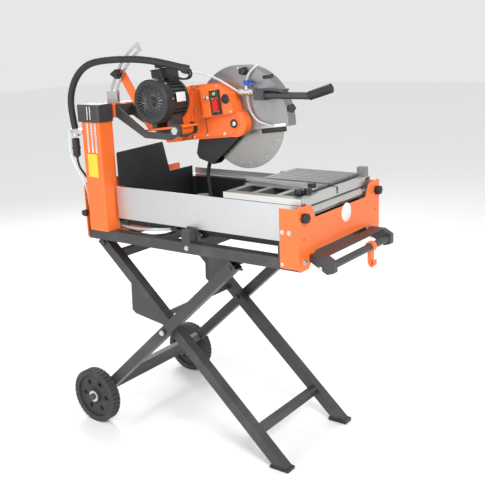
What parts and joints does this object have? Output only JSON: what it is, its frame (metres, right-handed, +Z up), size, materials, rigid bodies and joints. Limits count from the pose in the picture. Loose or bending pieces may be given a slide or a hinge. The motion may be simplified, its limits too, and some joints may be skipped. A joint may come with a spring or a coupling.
{
  "type": "masonry and tile saw on a folding stand",
  "caption": "Orange and silver masonry tile saw with a tilting 350 mm blade head, sliding cart, water tray and wheeled folding scissor stand.",
  "frame": {"origin": "floor under the middle of the machine's bounding box", "axes": "+X to the operator's right, -Y towards the operator, +Z up"},
  "size_m": [0.682, 1.2125, 1.5457],
  "materials": {
    "orange_paint": "gloss powder coat",
    "silver_panel": "galvanised",
    "dark_grey_paint": "satin",
    "motor_black": "satin paint",
    "cowl_black": "moulded",
    "black_plastic": "moulded",
    "black_rubber": "matte",
    "tyre_rubber": "matte",
    "zinc_steel": "zinc plated",
    "guard_metal": "cast and tumbled",
    "blade_steel": "ground",
    "clear_hose": "clear vinyl",
    "red_plastic": "moulded",
    "blue_plastic": "moulded"
  },
  "bodies": {
    "frame": {"side_panel_left": "silver_panel", "side_panel_right": "silver_panel", "water_tray": "cowl_black", "front_plate": "orange_paint", "rear_plate": "orange_paint", "column": "orange_paint", "column_cap": "dark_grey_paint", "head_beam": "orange_paint", "pivot_cradle": "dark_grey_paint", "pivot_shaft": "zinc_steel", "slotted_arc": "zinc_steel", "arc_bracket": "zinc_steel", "splash_guard": "cowl_black", "stand_top_frame": "dark_grey_paint", "front_handle": "dark_grey_paint", "roller_brackets": "zinc_steel", "power_conduit": "black_rubber", "water_pump": "black_plastic", "pump_hose": "clear_hose", "pump_cable": "black_rubber", "cable_plug": "black_plastic"},
    "head": {"motor_housing": "motor_black", "fan_cowl": "cowl_black", "junction_box": "cowl_black", "head_base": "orange_paint", "clamp_arm": "orange_paint", "belt_housing": "orange_paint", "belt_cover": "orange_paint", "drive_belt": "black_rubber", "blade_guard": "guard_metal", "guard_shroud": "black_plastic", "drain_hose": "black_rubber", "head_handle": "dark_grey_paint", "handle_grip": "black_rubber", "switch_box": "orange_paint", "water_valve": "zinc_steel", "water_tubes": "clear_hose"},
    "rotor": {"motor_rotor": "zinc_steel", "drive_pulley": "zinc_steel"},
    "spindle_body": {"spindle": "zinc_steel", "blade": "blade_steel", "blade_clamp": "zinc_steel"},
    "cart": {"cart_frame": "zinc_steel", "cart_top": "guard_metal"},
    "cart_axle_front": {"cart_wheels_front": "zinc_steel"},
    "cart_axle_rear": {"cart_wheels_rear": "zinc_steel"},
    "guide": {"guide_bar": "zinc_steel"},
    "guide_lock": {"guide_knob": "black_plastic"},
    "roller": {"front_roller": "zinc_steel"},
    "hook": {"hose_hook": "orange_paint"},
    "leg_a": {"leg_a_frame": "dark_grey_paint", "leg_feet": "black_plastic"},
    "leg_b": {"leg_b_frame": "dark_grey_paint"},
    "transport_wheel_left": {"wheel_left": "tyre_rubber"},
    "transport_wheel_right": {"wheel_right": "tyre_rubber"},
    "rocker": {"rocker_switch": "red_plastic"},
    "button": {"stop_button": "black_plastic"},
    "lever": {"valve_lever": "blue_plastic"},
    "arc_lock": {"arc_clamp_knob": "black_plastic"},
    "belt_adjuster": {"tension_knob": "black_plastic"}
  },
  "joints": [
    {"name": "head_tilt", "type": "hinge", "parent": "frame", "child": "head", "pos_m": [0, 0.045, 1.23], "axis": [1, 0, 0], "range_deg": [-10, 20], "deforming": ["power_conduit"]},
    {"name": "rotor_spin", "type": "hinge", "parent": "head", "child": "rotor", "pos_m": [-0.15, 0.13333, 1.33401], "axis": [1, 0, 0], "continuous": true},
    {"name": "spindle_spin", "type": "hinge", "parent": "head", "child": "spindle_body", "pos_m": [0, -0.10834, 1.2448], "axis": [1, 0, 0], "continuous": true},
    {"name": "cart_slide", "type": "slide", "parent": "frame", "child": "cart", "axis": [0, 1, 0], "range_m": [0, 0.44], "deforming": ["drain_hose"]},
    {"name": "cart_wheels_front_spin", "type": "hinge", "parent": "cart", "child": "cart_axle_front", "pos_m": [0, -0.439, 0.9983], "axis": [1, 0, 0], "continuous": true},
    {"name": "cart_wheels_rear_spin", "type": "hinge", "parent": "cart", "child": "cart_axle_rear", "pos_m": [0, -0.229, 0.9983], "axis": [1, 0, 0], "continuous": true},
    {"name": "guide_swing", "type": "hinge", "parent": "cart", "child": "guide", "pos_m": [-0.1, -0.453, 1.0385], "axis": [0, 0, 1], "range_deg": [0, 50]},
    {"name": "guide_lock_turn", "type": "hinge", "parent": "guide", "child": "guide_lock", "pos_m": [-0.1, -0.453, 1.05], "axis": [0, 0, 1], "range_deg": [0, 180]},
    {"name": "front_roller_spin", "type": "hinge", "parent": "frame", "child": "roller", "pos_m": [0, -0.483, 0.977], "axis": [1, 0, 0], "continuous": true},
    {"name": "hook_swing", "type": "hinge", "parent": "frame", "child": "hook", "pos_m": [0.073, -0.591, 0.808], "axis": [1, 0, 0], "range_deg": [-20, 60]},
    {"name": "leg_a_fold", "type": "hinge", "parent": "frame", "child": "leg_a", "pos_m": [0, 0.444, 0.767], "axis": [-1, 0, 0], "range_deg": [0, 36.5]},
    {"name": "leg_b_fold", "type": "hinge", "parent": "leg_a", "child": "leg_b", "pos_m": [0, 0.11001, 0.46096], "axis": [-1, 0, 0], "range_deg": [-73, 0]},
    {"name": "wheel_left_spin", "type": "hinge", "parent": "leg_b", "child": "transport_wheel_left", "pos_m": [-0.308, 0.48756, 0.115], "axis": [1, 0, 0], "continuous": true},
    {"name": "wheel_right_spin", "type": "hinge", "parent": "leg_b", "child": "transport_wheel_right", "pos_m": [0.308, 0.48756, 0.115], "axis": [1, 0, 0], "continuous": true},
    {"name": "rocker_tilt", "type": "hinge", "parent": "head", "child": "rocker", "pos_m": [-0.084, -0.04151, 1.31316], "axis": [0, 0.9925, -0.1219], "range_deg": [-8, 8]},
    {"name": "stop_press", "type": "slide", "parent": "head", "child": "button", "axis": [1, 0, 0], "range_m": [0, 0.003], "stiffness_N_per_m": 400, "springref_m": -0.002},
    {"name": "valve_turn", "type": "hinge", "parent": "head", "child": "lever", "pos_m": [-0.05, -0.156, 1.386], "axis": [0, 0, -1], "range_deg": [0, 90]},
    {"name": "arc_lock_turn", "type": "hinge", "parent": "head", "child": "arc_lock", "pos_m": [-0.2, 0.3229, 1.4319], "axis": [1, 0, 0], "range_deg": [0, 180]},
    {"name": "belt_adjust_turn", "type": "hinge", "parent": "head", "child": "belt_adjuster", "pos_m": [-0.19, 0.12563, 1.45183], "axis": [0, 0.1219, 0.9925], "range_deg": [0, 180]}
  ],
  "couplings": [
    {"joint": "spindle_spin", "follows": "rotor_spin", "ratio": 0.93333},
    {"joint": "cart_wheels_front_spin", "follows": "cart_slide", "rad_per_m": -62.5},
    {"joint": "cart_wheels_rear_spin", "follows": "cart_slide", "rad_per_m": -62.5},
    {"joint": "leg_b_fold", "follows": "leg_a_fold", "ratio": -2}
  ]
}
